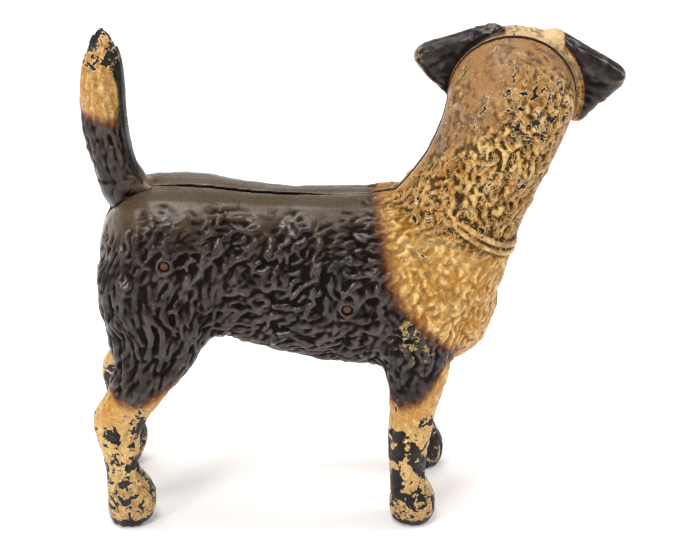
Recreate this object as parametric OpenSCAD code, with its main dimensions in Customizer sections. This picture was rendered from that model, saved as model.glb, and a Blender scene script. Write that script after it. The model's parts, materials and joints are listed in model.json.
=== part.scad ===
// Cast iron still bank in the form of a standing terrier.
// Two hollow castings meet on the plane y = 0 along the spine, held by two machine screws.
// The dog faces +X, its head is turned to its left (+Y), and its paws stand on z = 0.

/* [Figure] */
// Length from the tail to the outer ear
figure_l = 229; // [190:1:280]
// Height from the soles to the tip of the tail
figure_h = 218; // [180:1:265]
// Width over the haunches
figure_w = 72; // [60:1:90]
// Wall of the hollow body, neck and head
wall = 4; // [3:0.5:6]

/* [Seam] */
// Gap between the two castings
seam_gap = 0.3; // [0.2:0.1:0.8]
// Room around the tail root in the right casting
tail_room = 0.6; // [0.3:0.1:1]

/* [Coin slot] */
// Length of the slot between its tapering ends
slot_l = 44; // [28:1:60]
// Width of the slot, both halves together
slot_w = 3; // [2:0.1:4]
// Length of each tapering end
slot_taper = 22; // [5:1:25]
// Distance of the slot's middle behind the figure's middle
slot_back = 42; // [30:1:55]

/* [Screws] */
// Major diameter of the screw thread
screw_d = 4.8; // [4:0.1:6]
// Diameter of the screw head
head_d = 9.2; // [8:0.1:11]
// Height of the screw head
head_h = 3; // [2:0.1:4]
// Width of the screwdriver slot
driver_w = 1.3; // [1:0.1:1.6]
// Depth of the screwdriver slot
driver_depth = 1.6; // [1:0.1:1.8]
// Outer diameter of the bosses
boss_d = 15; // [13:0.5:18]
// Depth of the head's bearing face below the left flank
seat_depth = 4; // [3.5:0.5:6]
// Depth of the screw's end below the right flank
end_depth = 0.8; // [0.3:0.1:2]
// Radial clearance of the screw in the tapped boss
thread_room = 0.05; // [0.02:0.01:0.1]
// Radial clearance of the screw in the left boss
shank_room = 0.3; // [0.2:0.1:0.6]
// Radial clearance of the head in its seat
head_room = 0.6; // [0.4:0.1:1]

/* [Hidden] */

black_enamel = [0.10, 0.08, 0.08];
bare_steel = [0.36, 0.30, 0.26];

// The sections below are written at the size of the standard casting and stretched from there.
kx = figure_l / 229;
ky = figure_w / 72;
kz = figure_h / 218;

// Each section is [x, y, z, tilt, half width across, half depth, squareness]. Tilt 0 stands the
// section upright and tilt 90 lays it level. TORSO runs from rump to chest, the others run down.
TORSO = [
    [-103, 0, 111, 0, 8, 8, 2],
    [-100.5, 0, 112, 0, 18, 20, 2.2],
    [-95, 0, 113.5, 0, 26, 27.5, 2.6],
    [-86, 0, 116, 0, 31, 31.5, 3],
    [-72, 0, 117, 0, 33, 31.5, 3.3],
    [-56, 0, 116.5, 0, 32.5, 31.5, 3.2],
    [-40, 0, 113, 0, 31.5, 33, 2.8],
    [-24, 0, 109.5, 0, 32.5, 35.5, 2.4],
    [-6, 0, 107.5, 0, 34, 37, 2.4],
    [12, 0, 106.5, 0, 35, 38.5, 2.4],
    [28, 0, 107.5, 0, 34, 40, 2.3],
    [42, 0, 107, 0, 31, 40, 2.2],
    [53, 0, 105.5, 0, 25, 36, 2],
    [62, 0, 104, 0, 17, 28, 2],
    [68, 0, 106, 0, 6, 14, 2]
];

NECK = [
    [71, 0, 185, 101, 25, 26.5, 2],
    [67, 0, 172, 104, 26, 25.5, 2],
    [60, 0, 156, 107, 27, 25, 2.1],
    [51.5, 0, 140, 112, 29, 27, 2.1],
    [44, 0, 124, 120, 30, 31, 2.1],
    [36, 0, 108, 128, 29, 34, 2.1]
];

TAIL = [
    [-98.4, 3, 218, 90, 0.8, 0.8, 2],
    [-98.4, 3, 217, 91, 2.2, 2, 2],
    [-98.3, 3, 213.5, 92, 4.4, 4.6, 2],
    [-98.3, 3, 208, 92, 6.5, 7.4, 2],
    [-98.8, 3, 201, 92, 8, 9.2, 2],
    [-99.2, 3, 193, 91, 8.8, 10, 2],
    [-99.2, 3, 183, 90, 9, 10.2, 2],
    [-98.5, 3, 173, 88, 9, 10.2, 2],
    [-97, 3, 165, 86, 9, 9.8, 2],
    [-95, 3, 157, 84, 9.3, 9.7, 2],
    [-92, 3, 149.5, 80, 9.8, 10.6, 2],
    [-87, 3, 142, 74, 10, 11.8, 2],
    [-80, 3, 134, 66, 9, 10, 2]
];

HIND_LEG = [
    [-82, 13, 132, 90, 9, 13, 2],
    [-82, 17, 118, 90, 15.5, 21, 2],
    [-79, 19, 106, 90, 17, 25, 2],
    [-76, 20.5, 93, 90, 15.5, 25, 2],
    [-78, 22.5, 82, 90, 13.2, 20.6, 2],
    [-81.5, 24, 72, 90, 11.3, 16.6, 2.1],
    [-87, 25, 62, 90, 9.8, 13.6, 2.1],
    [-93.5, 25, 53, 90, 8.7, 12.8, 2.1],
    [-96, 25.5, 44, 90, 8, 10.6, 2.1],
    [-95, 26, 35, 90, 7.7, 8.6, 2],
    [-94.8, 26, 27.5, 90, 7.8, 7.6, 2],
    [-93, 26, 22, 90, 8.5, 9.2, 2.1],
    [-91.2, 26, 15.5, 90, 9.5, 11, 2.2],
    [-91, 26, 8.5, 90, 9.8, 11, 2.2],
    [-91.8, 26, 3, 90, 9.2, 9.9, 2.2],
    [-92.3, 26, 0, 90, 7.8, 8, 2.1]
];

FRONT_LEG = [
    [36, 12, 122, 90, 14, 17, 2],
    [36, 16, 106, 90, 17, 20, 2],
    [35, 18.5, 93, 90, 16, 18.5, 2],
    [33.5, 20, 83, 90, 14.5, 17.3, 2],
    [33, 22, 74, 90, 12, 15.2, 2],
    [33, 23.5, 65.5, 90, 10, 12.6, 2.1],
    [31.7, 24.5, 57, 90, 9, 10.9, 2.1],
    [30.4, 25, 47, 90, 8.5, 10.1, 2.1],
    [29.6, 25, 37, 90, 8.3, 9.3, 2],
    [29.4, 25, 28, 90, 8.2, 8.5, 2],
    [29.5, 25, 22, 90, 8.4, 8.3, 2],
    [30.4, 25, 17, 90, 9, 9.3, 2.1],
    [31.6, 25, 11.5, 90, 9.8, 10.4, 2.2],
    [31.7, 25, 6, 90, 9.8, 10.4, 2.2],
    [31.5, 25, 2, 90, 9.2, 9.3, 2.2],
    [31.5, 25, 0, 90, 8, 7.8, 2.1]
];

// How far the left front leg stands ahead of the right one, and the left hind paw behind it,
// and how much shorter that paw is.
front_step = 5.5;
hind_step = -7.2;
hind_step_z = 60;
hind_slim = 0.25;

// Head sections run from the nose to the back of the skull, upright and facing the dog's left:
// [x, y, z, half across, half tall, squareness].
HEAD = [
    [73, 62, 181.5, 5, 6, 2],
    [73, 60.5, 181, 9.5, 10.5, 2.2],
    [73, 56, 180.5, 12, 14, 2.4],
    [73, 48, 181, 13, 15.5, 2.4],
    [73, 39, 183, 14.5, 17, 2.3],
    [73, 32, 186.5, 18, 18.5, 2.3],
    [73, 24, 188.5, 22.5, 22.5, 2.3],
    [72.5, 15, 189, 25.5, 26, 2.2],
    [72, 6, 188, 26.8, 27.4, 2.1],
    [71, -4, 187, 26.6, 26.8, 2],
    [71, -13, 187, 24, 24, 2],
    [71, -20.5, 187, 18, 18, 2],
    [71, -25, 187, 10, 10, 2],
    [71, -26.5, 187, 3, 3, 2]
];

// Balls that round off the nose and brows, and the root, fold, lower edge and flap of each ear:
// [x, y, z, radius].
NOSE = [73, 61, 188.5, 4.6];
BROWS = [[64, 33, 198.5, 5.5], [82, 33, 197.5, 5.5]];
EAR_HIGH = [[63, 8, 212, 6], [36, 9, 203, 6], [47.5, 8, 190.5, 5.5], [44, 25, 190, 4.5]];
EAR_LOW = [[88, 8, 209.5, 6.5], [113.5, 9, 194, 6.5], [99.5, 8, 179.5, 5.5], [105, 25, 181, 4.5]];

// Middle section of the collar, the width of its band and how proud it stands.
COLLAR = [52.5, 0, 139.6, 126.5, 29.6, 24.8, 2.1];
collar_w = 5;
collar_proud = 0.9;

// Facets around a body section, a limb section and a ball.
body_sides = 32;
limb_sides = 20;
ball_sides = 16;

// Where the screws cross the body.
screw_front_at = [3 * kx, 106 * kz];
screw_rear_at = [-73 * kx, 125 * kz];

big = 3 * max(figure_l, figure_h);

// A value on the smooth curve from b to c, whose neighbours are a and d.
function between(a, b, c, d, t) =
    (2 * b + (c - a) * t + (2 * a - 5 * b + 4 * c - d) * t * t
    + (3 * b - a - 3 * c + d) * t * t * t) / 2;

function refined(s, steps) = concat(
    [for (i = [0 : len(s) - 2])
        for (j = [0 : steps - 1])
            between(s[max(i - 1, 0)], s[i], s[i + 1], s[min(i + 2, len(s) - 1)], j / steps)],
    [s[len(s) - 1]]);

// One coordinate of a rounded square, from its cosine or sine.
function rounded(c, squareness) = sign(c) * pow(abs(c), 2 / squareness);

// The points around a body, leg or tail section, moved outward by grow.
function body_ring(s, sides, grow) =
    let (lean = [sin(s[3]) * kx, cos(s[3]) * kz])
    let (deep = max(0.2, s[5] * norm(lean) + grow))
    let (wide = max(0.2, s[4] * ky + grow))
    [for (i = [0 : sides - 1])
        let (a = 360 * (i + 0.5) / sides)
        let (v = deep * rounded(sin(a), s[6]) / norm(lean))
        [s[0] * kx + v * lean[0], s[1] * ky + wide * rounded(cos(a), s[6]), s[2] * kz + v * lean[1]]];

// The points around a head section, moved outward by grow.
function head_ring(s, sides, grow) =
    [for (i = [0 : sides - 1])
        let (a = 360 * (i + 0.5) / sides)
        [s[0] * kx + max(0.2, s[3] * kx + grow) * rounded(cos(a), s[5]),
         s[1] * ky,
         s[2] * kz + max(0.2, s[4] * kz + grow) * rounded(sin(a), s[5])]];

function body_rings(s, sides, steps, grow = 0) = [for (p = refined(s, steps)) body_ring(p, sides, grow)];
function head_rings(grow = 0) = [for (p = refined(HEAD, 2)) head_ring(p, body_sides, grow)];

// A leg of the right half is a mirrored section list, and the left legs are stepped along X.
function right_leg(s) = [for (p = s) [p[0], -p[1], p[2], p[3], p[4], p[5], p[6]]];
function left_front_leg() = [for (p = FRONT_LEG) [p[0] + front_step, p[1], p[2], p[3], p[4], p[5], p[6]]];
function left_hind_leg() = [for (p = HIND_LEG)
    let (low = max(0, 1 - p[2] / hind_step_z))
    [p[0] + hind_step * low, p[1], p[2], p[3], p[4], p[5] * (1 - hind_slim * low), p[6]]];

// Half width of the torso at a place along and above it.
function torso_row(i) = [for (s = TORSO) [s[0] * kx, s[i]]];
function flank(at) =
    let (rise = (at[1] / kz - lookup(at[0], torso_row(2))) / lookup(at[0], torso_row(5)))
    let (e = lookup(at[0], torso_row(6)))
    ky * lookup(at[0], torso_row(4)) * pow(1 - pow(abs(rise), e), 1 / e);

function seat_y(at) = flank(at) - seat_depth;
function end_y(at) = end_depth - flank(at);

// The origin stands under the middle of the figure's box: from the tail to the low ear, and from
// the right haunch to the nose.
x_back = min([for (r = body_rings(TAIL, limb_sides, 2)) for (p = r) p[0]]);
x_front = EAR_LOW[1][0] * kx + EAR_LOW[1][3];
y_right = min([for (r = body_rings(right_leg(HIND_LEG), limb_sides, 2)) for (p = r) p[1]]);
y_left = NOSE[1] * ky + NOSE[3];
to_origin = [-(x_back + x_front) / 2, -(y_right + y_left) / 2, 0];

module loft(rings) {
    n = len(rings[0]);
    last = len(rings) - 1;
    start = [for (j = [0 : n - 1]) j];
    end = [for (j = [n - 1 : -1 : 0]) last * n + j];
    side = [for (i = [0 : last - 1]) for (j = [0 : n - 1])
        let (k = (j + 1) % n)
        each [[i * n + j, (i + 1) * n + k, i * n + k], [i * n + j, (i + 1) * n + j, (i + 1) * n + k]]];
    polyhedron([for (r = rings) each r], concat([start], side, [end]));
}

module ball(b) {
    translate([b[0] * kx, b[1] * ky, b[2] * kz]) sphere(b[3], $fn = ball_sides);
}

module ear(balls) {
    hull() for (b = balls) ball(b);
}

module tail(grow = 0) {
    loft(body_rings(TAIL, limb_sides, 2, grow));
}

module collar() {
    lean = [cos(COLLAR[3]), sin(COLLAR[3])];
    band = [for (edge = [[-0.5, 0.2], [-0.42, 1], [-0.1, 1], [0, 0.5], [0.1, 1], [0.42, 1], [0.5, 0.2]])
        let (along = edge[0] * collar_w)
        let (s = [COLLAR[0] + lean[0] * along / kx, 0, COLLAR[2] - lean[1] * along / kz,
            COLLAR[3], COLLAR[4], COLLAR[5], COLLAR[6]])
        body_ring(s, body_sides, edge[1] * collar_proud)];
    loft(band);
}

// Everything but the tail, which belongs to the left half alone.
module body_form() {
    loft(body_rings(TORSO, body_sides, 2));
    loft(body_rings(NECK, body_sides, 2));
    loft(head_rings());
}

// The hollow, a wall inside the form all round, and at the rump, chest, nape and muzzle too.
module cavity() {
    rump = TORSO[0][0] * kx + wall;
    chest = TORSO[len(TORSO) - 1][0] * kx - wall;
    muzzle = HEAD[0][1] * ky - wall;
    nape = HEAD[len(HEAD) - 1][1] * ky + wall;
    intersection() {
        loft(body_rings(TORSO, body_sides, 2, -wall));
        translate([rump, -big / 2, 0]) cube([chest - rump, big, big]);
    }
    loft(body_rings(NECK, body_sides, 2, -wall));
    intersection() {
        loft(head_rings(-wall));
        translate([0, nape, 0]) cube([big, muzzle - nape, big]);
    }
}

module half_space(side) {
    translate([-big / 2, side > 0 ? seam_gap / 2 : -big - seam_gap / 2, -big / 2]) cube(big);
}

// The slot through the back, with tapering ends along the seam.
module coin_slot() {
    ends = slot_l / 2 + slot_taper;
    translate([-slot_back * kx, 0, TORSO[5][2] * kz])
        linear_extrude(big)
            polygon([[-ends, 0], [-slot_l / 2, -slot_w / 2], [slot_l / 2, -slot_w / 2],
                [ends, 0], [slot_l / 2, slot_w / 2], [-slot_l / 2, slot_w / 2]]);
}

// A boss from the seam to just inside the flank.
module boss(at, side) {
    translate([at[0], 0, at[1]]) rotate([side > 0 ? -90 : 90, 0, 0])
        translate([0, 0, seam_gap / 2]) cylinder(h = flank(at) - wall / 2 - seam_gap / 2, d = boss_d, $fn = 32);
}

module hollow_half(side) {
    difference() {
        intersection() {
            union() {
                body_form();
                collar();
                children();
            }
            half_space(side);
        }
        difference() {
            cavity();
            boss(screw_front_at, side);
            boss(screw_rear_at, side);
        }
        coin_slot();
    }
}

module right_casting() {
    difference() {
        hollow_half(-1) {
            loft(body_rings(right_leg(HIND_LEG), limb_sides, 2));
            loft(body_rings(right_leg(FRONT_LEG), limb_sides, 2));
        }
        tail(tail_room);
    }
}

module left_casting() {
    hollow_half(1) {
        loft(body_rings(left_hind_leg(), limb_sides, 2));
        loft(body_rings(left_front_leg(), limb_sides, 2));
        ball(NOSE);
        for (b = BROWS) ball(b);
        ear(EAR_HIGH);
        ear(EAR_LOW);
    }
    tail();
}

// A round hole along Y from one distance to another.
module bore(at, from_y, to_y, d) {
    translate([at[0], to_y, at[1]]) rotate([90, 0, 0]) cylinder(h = to_y - from_y, d = d, $fn = 48);
}

module right_half() {
    color(black_enamel) translate(to_origin) difference() {
        resize([0, 0, 0]) right_casting();
        for (at = [screw_front_at, screw_rear_at])
            bore(at, -flank(at) - wall, seam_gap, screw_d + 2 * thread_room);
    }
}

module left_half() {
    color(black_enamel) translate(to_origin) difference() {
        resize([0, 0, 0]) left_casting();
        for (at = [screw_front_at, screw_rear_at]) {
            bore(at, -seam_gap, flank(at), screw_d + 2 * shank_room);
            bore(at, seat_y(at), flank(at) + wall, head_d + 2 * head_room);
        }
    }
}

module screw(at) {
    color(bare_steel) translate(to_origin) difference() {
        union() {
            bore(at, end_y(at), seat_y(at), screw_d);
            bore(at, seat_y(at), seat_y(at) + head_h, head_d);
        }
        translate([at[0] - head_d, seat_y(at) + head_h - driver_depth, at[1] - driver_w / 2])
            cube([2 * head_d, 2 * driver_depth, driver_w]);
    }
}

module screw_front() {
    screw(screw_front_at);
}

module screw_rear() {
    screw(screw_rear_at);
}

right_half();
left_half();
screw_front();
screw_rear();
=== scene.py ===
import json
import math

import bmesh
import bpy
import numpy as np
from mathutils import Matrix, Vector, kdtree, noise


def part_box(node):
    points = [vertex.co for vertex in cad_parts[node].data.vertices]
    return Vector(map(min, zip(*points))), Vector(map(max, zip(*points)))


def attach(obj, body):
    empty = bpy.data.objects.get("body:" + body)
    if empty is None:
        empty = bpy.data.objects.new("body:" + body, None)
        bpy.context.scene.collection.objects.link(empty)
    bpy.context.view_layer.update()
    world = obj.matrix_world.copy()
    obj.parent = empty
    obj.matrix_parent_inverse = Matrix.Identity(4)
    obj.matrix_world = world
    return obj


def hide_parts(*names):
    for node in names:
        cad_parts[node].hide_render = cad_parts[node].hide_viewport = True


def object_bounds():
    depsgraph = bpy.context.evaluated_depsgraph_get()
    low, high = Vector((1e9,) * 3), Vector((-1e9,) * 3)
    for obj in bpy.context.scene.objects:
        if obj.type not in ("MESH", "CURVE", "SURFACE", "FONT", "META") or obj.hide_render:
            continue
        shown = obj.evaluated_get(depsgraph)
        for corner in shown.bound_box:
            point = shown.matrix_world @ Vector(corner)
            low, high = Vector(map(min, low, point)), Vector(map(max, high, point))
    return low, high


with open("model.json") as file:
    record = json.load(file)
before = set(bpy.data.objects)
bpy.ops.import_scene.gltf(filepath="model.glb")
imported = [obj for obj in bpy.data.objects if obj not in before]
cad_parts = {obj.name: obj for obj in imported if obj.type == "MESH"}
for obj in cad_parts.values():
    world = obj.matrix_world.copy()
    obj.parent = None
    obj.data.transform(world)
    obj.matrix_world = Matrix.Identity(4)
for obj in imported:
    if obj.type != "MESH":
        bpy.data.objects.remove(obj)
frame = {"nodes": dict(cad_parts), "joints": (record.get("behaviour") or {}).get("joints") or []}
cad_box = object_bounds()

# The looks of a cast iron terrier bank: two painted castings with a sculpted coat, and two
# slotted machine screws. Sculpting is worked out in millimetres on the casting's own axes: x along
# the body from the middle of the pattern, y to the dog's left of the seam, z above the soles.

MM = 0.001
SEAM_GAP = 0.3
SCREW_FRONT_X = 3.0
RNG = np.random.default_rng(1911)

SCREW_JOINTS = {j["child"]: j for j in frame["joints"] if j["type"] == "hinge"}
MID_X = SCREW_JOINTS["screw_front"]["pos_m"][0] - SCREW_FRONT_X * MM
SEAM_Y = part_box("right_half")[1].y + SEAM_GAP / 2 * MM
ORIGIN = np.array([MID_X, SEAM_Y, 0.0])
SCREW_AXES = [(np.array(j["pos_m"]) - ORIGIN)[[0, 2]] / MM for j in SCREW_JOINTS.values()]

VOXEL = 0.62 * MM
FACE_LIMIT = 192000
HEAD_MIDDLE = np.array([72.5, 0.0, 188.0])


# ---------------------------------------------------------------- small tools

def ramp(value, low, high):
    """Smooth 0 to 1 as value goes from low to high, and 1 to 0 if high is the lower one."""
    t = np.clip((value - low) / (high - low), 0.0, 1.0)
    return t * t * (3.0 - 2.0 * t)


def bell(value, middle, width):
    return np.exp(-((value - middle) / width) ** 2)


def link(obj):
    bpy.context.scene.collection.objects.link(obj)
    return obj


def mesh_object(name, bm):
    mesh = bpy.data.meshes.new(name)
    bm.to_mesh(mesh)
    bm.free()
    return link(bpy.data.objects.new(name, mesh))


def settle(obj):
    """Applies the object's modifiers to its mesh."""
    graph = bpy.context.evaluated_depsgraph_get()
    done = bpy.data.meshes.new_from_object(obj.evaluated_get(graph), depsgraph=graph)
    obj.modifiers.clear()
    old = obj.data
    obj.data = done
    done.name = obj.name
    bpy.data.meshes.remove(old)
    return obj


def read_points(mesh):
    co = np.empty(len(mesh.vertices) * 3, np.float32)
    mesh.vertices.foreach_get("co", co)
    return (co.reshape(-1, 3).astype(float) - ORIGIN) / MM


def write_points(mesh, q):
    mesh.vertices.foreach_set("co", (q * MM + ORIGIN).astype(np.float32).ravel())
    mesh.update()


def read_normals(mesh):
    n = np.empty(len(mesh.vertices) * 3, np.float32)
    mesh.vertex_normals.foreach_get("vector", n)
    return n.reshape(-1, 3).astype(float)


def read_edges(mesh):
    e = np.empty(len(mesh.edges) * 2, np.int32)
    mesh.edges.foreach_get("vertices", e)
    return e.reshape(-1, 2)


class Neighbours:
    """Averages values over the vertices next to each vertex."""

    def __init__(self, edges, count):
        self.a = np.concatenate([edges[:, 0], edges[:, 1]])
        self.b = np.concatenate([edges[:, 1], edges[:, 0]])
        self.count = count
        self.ways = np.maximum(np.bincount(self.a, minlength=count), 1)

    def average(self, values):
        if values.ndim == 1:
            return np.bincount(self.a, values[self.b], self.count) / self.ways
        return np.stack([self.average(values[:, k]) for k in range(values.shape[1])], axis=1)

    def smoothed(self, values, times):
        for _ in range(times):
            values = self.average(values)
        return values


def wavy(q, size, seed):
    """Smooth noise from -1 to 1 at points in millimetres, with bumps of about that size."""
    shift = Vector((seed * 17.3, seed * 5.1, seed * 9.7))
    return np.array([noise.noise(Vector(p) / size + shift) for p in q])


# ---------------------------------------------------------------- where things are on the dog

def along_line(value, stations):
    return np.interp(value, [s[0] for s in stations], [s[1] for s in stations])


# Front edge of the black saddle: height, and how far forward the black reaches there.
SADDLE_EDGE = [(70, 62), (80, 49), (84, 46), (92, 38), (100, 30), (107, 24), (116, 20), (126, 18),
               (136, 16), (148, 12), (160, 8)]
# Lower edge of the black on the hind leg: place along the body, and height.
HIND_BLACK = [(-110, 70), (-100, 69), (-94, 63), (-85, 60), (-80, 64), (-66, 73), (-57, 80), (-40, 60)]
# Lower edge of the black on the front leg.
FRONT_BLACK = [(10, 60), (19, 63), (26, 60), (34, 63), (40, 70), (44, 79), (60, 84)]
TAIL_BLACK = 177.5
# Middle of the neck at its foot and at its top, as x and z.
NECK_FOOT = np.array([44.0, 124.0])
NECK_TOP = np.array([70.0, 187.0])


def tail_share(q):
    return ramp(q[:, 2] + 0.62 * (-q[:, 0]), 199, 206) * (q[:, 0] < -70)


def neck_share(q):
    """1 on the neck and head, 0 on the body."""
    way = (NECK_TOP - NECK_FOOT) / np.linalg.norm(NECK_TOP - NECK_FOOT)
    up = (q[:, 0] - NECK_FOOT[0]) * way[0] + (q[:, 2] - NECK_FOOT[1]) * way[1]
    return ramp(up, 2, 16) * (q[:, 0] > 5)


def leg_share(q):
    """1 on the lower legs, 0 on the body and thighs."""
    hind = ramp(q[:, 2], 74, 56) * (q[:, 0] < -40)
    front = ramp(q[:, 2], 72, 56) * (q[:, 0] > -20)
    return np.maximum(hind, front) * ramp(q[:, 2], 90, 70)


def ear_reach(q):
    """Distance outside the skull, for points on the ears; negative elsewhere."""
    out = np.hypot(q[:, 0] - HEAD_MIDDLE[0], q[:, 2] - HEAD_MIDDLE[2]) - 27.8
    crown = np.where(q[:, 2] > 196, np.abs(q[:, 0] - 79.5) - 12.0, 20.0)
    level = (q[:, 1] > 1.0) & (q[:, 1] < 34) & (q[:, 0] > 30) & (q[:, 2] > np.where(q[:, 0] < 72, 186, 176))
    return np.where(level, np.minimum(out, crown), -20.0)


def face_share(q):
    """1 on the face, fading out towards the back of the head."""
    return ramp(q[:, 1], 10, 24) * (q[:, 2] > 160) * (q[:, 0] > 40) * (ear_reach(q) < 1.5)


def crown_share(q):
    """1 on the pale crown between the ears, which belongs to the left casting."""
    return ramp(q[:, 1], 0.2, 0.8) * ramp(q[:, 2], 192, 197) * ramp(q[:, 1], 30, 18) * (ear_reach(q) < 1)


def back_share(q, n):
    """1 on the smooth band along the top of the back."""
    ragged = 2.0 * np.sin(q[:, 0] * 0.23) + 1.2 * np.sin(q[:, 0] * 0.61 + q[:, 2] * 0.4)
    rear = 5.0 * ramp(q[:, 0], -40, -70)
    top = ramp(np.abs(q[:, 1]) + ragged - rear, 29, 11) * ramp(n[:, 2], -0.05, 0.6) * ramp(q[:, 2], 122, 136)
    return top * ramp(q[:, 0], -108, -98) * ramp(q[:, 0], 26, 8)


def collar_place(q):
    """Distance above the collar's middle plane, and how strongly the band shows."""
    tilt = math.radians(126.5)
    above = -(q[:, 0] - 52.5) * math.cos(tilt) + (q[:, 2] - 139.6) * math.sin(tilt)
    forward = (q[:, 0] - 52.5) * math.sin(tilt) + (q[:, 2] - 139.6) * math.cos(tilt)
    return above, ramp(forward, -9, 2) * ramp(np.abs(above), 3.4, 2.4) * (q[:, 2] > 110)


def black_depth(q, n):
    """Millimetres inside the black paint, negative outside it."""
    saddle = (along_line(q[:, 2], SADDLE_EDGE) - q[:, 0]) * 0.8
    hind = q[:, 2] - along_line(q[:, 0], HIND_BLACK)
    front = q[:, 2] - along_line(q[:, 0], FRONT_BLACK)
    legs = np.where(q[:, 0] < -20, hind, front)
    body = np.minimum(saddle, legs)
    under = (n[:, 2] + 0.86) * 16
    body = np.minimum(body, np.where(q[:, 2] < 100, under, 20.0))
    tail = (TAIL_BLACK - q[:, 2]) * 0.9 - (q[:, 0] + 98) * 0.2
    depth = np.where(q[:, 0] < -70, np.minimum(body, tail), body)
    ears = ear_reach(q) * 7.0 + np.where(q[:, 0] < 72, 3.0, -12.0)
    return np.where(ear_reach(q) > -3, np.maximum(ears, -12), depth)


# ---------------------------------------------------------------- the coat

# Lie of the coat: a place on the dog, and the way the hair runs there.
COAT_LIE = [
    ((10, 0, 142), (-1.0, 0, -0.3)),
    ((-60, 0, 145), (-1.0, 0, -0.2)),
    ((-30, 0, 125), (-0.8, 0, -0.7)),
    ((-30, 0, 98), (-0.8, 0, -0.45)),
    ((-20, 0, 78), (-1.0, 0, 0.0)),
    ((-60, 0, 112), (-0.2, 0, -1.0)),
    ((-90, 0, 130), (-0.2, 0, -1.0)),
    ((-98, 0, 105), (0.1, 0, -1.0)),
    ((-78, 0, 98), (0.15, 0, -1.0)),
    ((-62, 0, 86), (-0.3, 0, -1.0)),
    ((-86, 0, 66), (-0.4, 0, -1.0)),
    ((-95, 0, 30), (0.0, 0, -1.0)),
    ((8, 0, 105), (-0.5, 0, -0.9)),
    ((34, 0, 100), (-0.1, 0, -1.0)),
    ((33, 0, 70), (0.1, 0, -1.0)),
    ((31, 0, 30), (0.0, 0, -1.0)),
    ((62, 0, 100), (-0.2, 0, -1.0)),
    ((66, 0, 140), (-0.4, 0, -1.0)),
    ((45, 0, 160), (-0.5, 0, -1.0)),
    ((75, 0, 170), (-0.35, 0, -1.0)),
    ((71, -20, 200), (0.0, 0, -1.0)),
    ((73, 25, 212), (0.0, 1.0, 0.3)),
    ((73, 48, 196), (0.0, 1.0, -0.5)),
    ((60, 45, 180), (-0.3, 0.6, -1.0)),
    ((86, 45, 180), (0.3, 0.6, -1.0)),
    ((36, 12, 200), (-1.0, 0.1, -0.5)),
    ((112, 12, 194), (1.0, 0.1, -0.6)),
    ((-98, 3, 170), (-0.1, 0, 1.0)),
    ((-98, 3, 205), (0.0, 0, 1.0)),
]

# Kinds of locks: how far apart they lie, half length, half width and height in millimetres, how
# far they stray from the lie, and how much they curl.
LOCKS = {
    "flank": dict(apart=4.2, half_l=5.6, half_w=1.9, height=3.0, stray=0.85, curl=0.10),
    "haunch": dict(apart=4.4, half_l=8.5, half_w=1.8, height=2.2, stray=0.4, curl=0.04),
    "belly": dict(apart=4.2, half_l=7.0, half_w=1.8, height=2.4, stray=0.5, curl=0.06),
    "neck": dict(apart=4.2, half_l=4.4, half_w=2.0, height=3.0, stray=1.1, curl=0.15),
    "chest": dict(apart=4.2, half_l=4.4, half_w=1.9, height=1.5, stray=0.9, curl=0.12),
    "leg": dict(apart=4.8, half_l=7.0, half_w=2.2, height=0.8, stray=0.4, curl=0.04),
    "tail": dict(apart=3.8, half_l=8.0, half_w=1.8, height=1.5, stray=0.3, curl=0.03),
    "ear": dict(apart=3.8, half_l=8.0, half_w=2.0, height=0.9, stray=0.3, curl=0.04),
    "face": dict(apart=3.0, half_l=4.5, half_w=1.6, height=1.3, stray=0.4, curl=0.06),
}


def coat_kinds(q, n):
    """How much each kind of lock belongs at each point, adding up to 1 or less."""
    neck = neck_share(q)
    leg = leg_share(q)
    tail = tail_share(q)
    ear = ramp(ear_reach(q), -1, 2)
    face = np.maximum(face_share(q), crown_share(q))
    back = back_share(q, n)
    body = (1 - neck) * (1 - leg) * (1 - tail) * (1 - ear) * (1 - face) * (1 - back)
    hind = ramp(q[:, 0], -44, -62) * ramp(q[:, 2], 126, 112)
    rump = ramp(q[:, 0], -84, -96)
    hind = np.maximum(hind, rump)
    low = ramp(q[:, 2], 92, 80) * (1 - hind) * ramp(q[:, 0], 22, 8)
    front = ramp(q[:, 0], 10, 26) * ramp(q[:, 2], 150, 140)
    return {
        "flank": body * (1 - hind) * (1 - low) * (1 - front),
        "haunch": body * hind,
        "belly": body * low,
        "chest": body * front * (1 - hind) * (1 - low),
        "neck": neck * (1 - face) * (1 - ear),
        "leg": leg * (1 - tail),
        "tail": tail,
        "ear": ear,
        "face": face * (1 - ear),
    }


def lie_at(q):
    """The way the hair runs at each point, blended from the places around it."""
    places = np.array([p for p, _ in COAT_LIE], float)
    ways = np.array([w for _, w in COAT_LIE], float)
    ways /= np.linalg.norm(ways, axis=1)[:, None]
    flat = q.copy()
    off_body = (q[:, 2] < 160) | (q[:, 0] < 30)
    flat[off_body, 1] = 0
    gap = ((flat[:, None, :] - places[None, :, :]) ** 2).sum(axis=2) + 20
    weight = 1 / gap ** 2
    return (weight[:, :, None] * ways[None, :, :]).sum(axis=1) / weight.sum(axis=1)[:, None]


def scatter(q, share, apart):
    """Picks points about that far apart, more thinly where the share is small."""
    order = RNG.permutation(len(q))
    order = order[RNG.random(len(q))[order] < share[order]]
    cells = np.floor(q[order] / (apart / 1.2)).astype(np.int64)
    _, first = np.unique(cells, axis=0, return_index=True)
    return order[np.sort(first)]


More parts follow.
